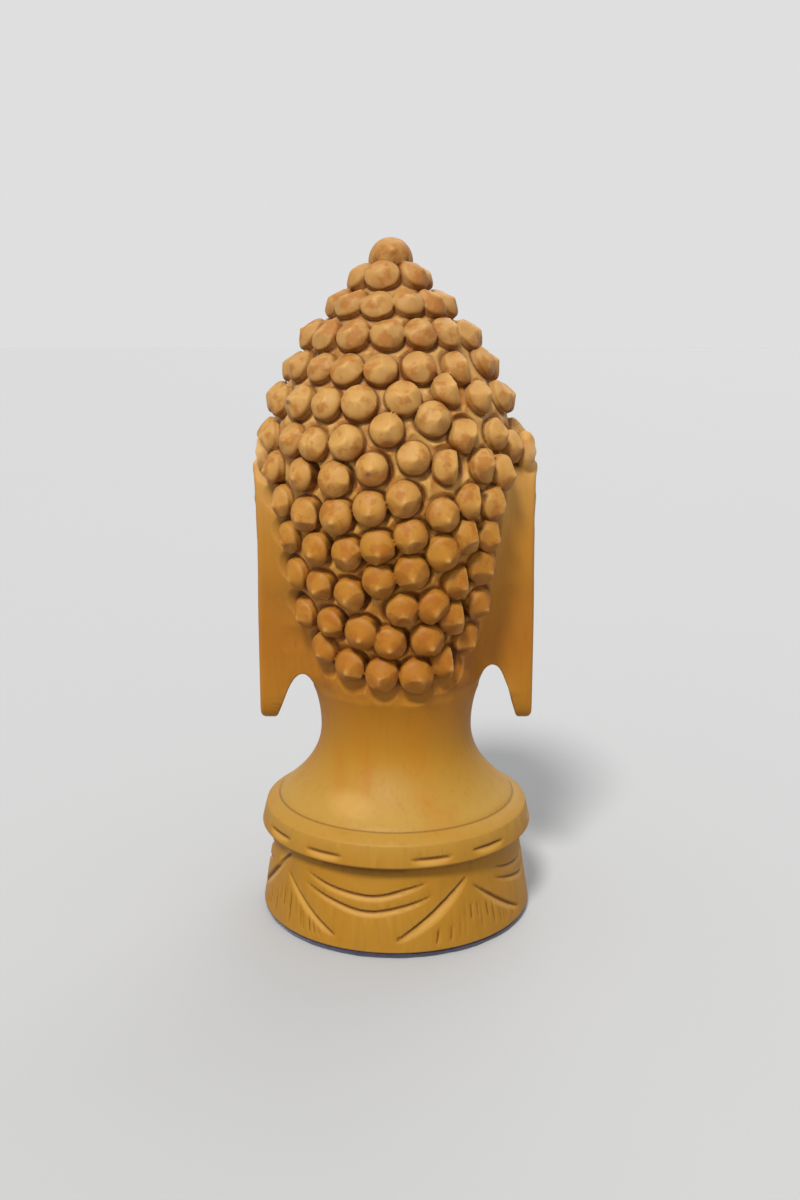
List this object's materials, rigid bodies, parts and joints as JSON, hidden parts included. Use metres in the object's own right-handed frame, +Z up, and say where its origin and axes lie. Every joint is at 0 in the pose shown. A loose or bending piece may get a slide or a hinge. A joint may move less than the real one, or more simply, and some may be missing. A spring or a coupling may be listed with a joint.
{
  "type": "carved wooden buddha head on a turned stand",
  "caption": "Small carved wooden buddha head with snail-shell curls, long ears and a calm face, cut in one with its turned, collared drum base on a felt disc.",
  "frame": {"origin": "centre of the underside, on the surface the head stands on", "axes": "+Z up, the face looks along -Y, the back of the head faces +Y"},
  "size_m": [0.0626, 0.0626, 0.152],
  "materials": {
    "carved_wood": "golden light hardwood, sanded and waxed to a soft satin, darker in the creases of the carving",
    "dark_felt": "thin dark navy felt, matt"
  },
  "bodies": {
    "root": {"carved_head": "carved_wood", "felt_pad": "dark_felt"}
  },
  "joints": []
}
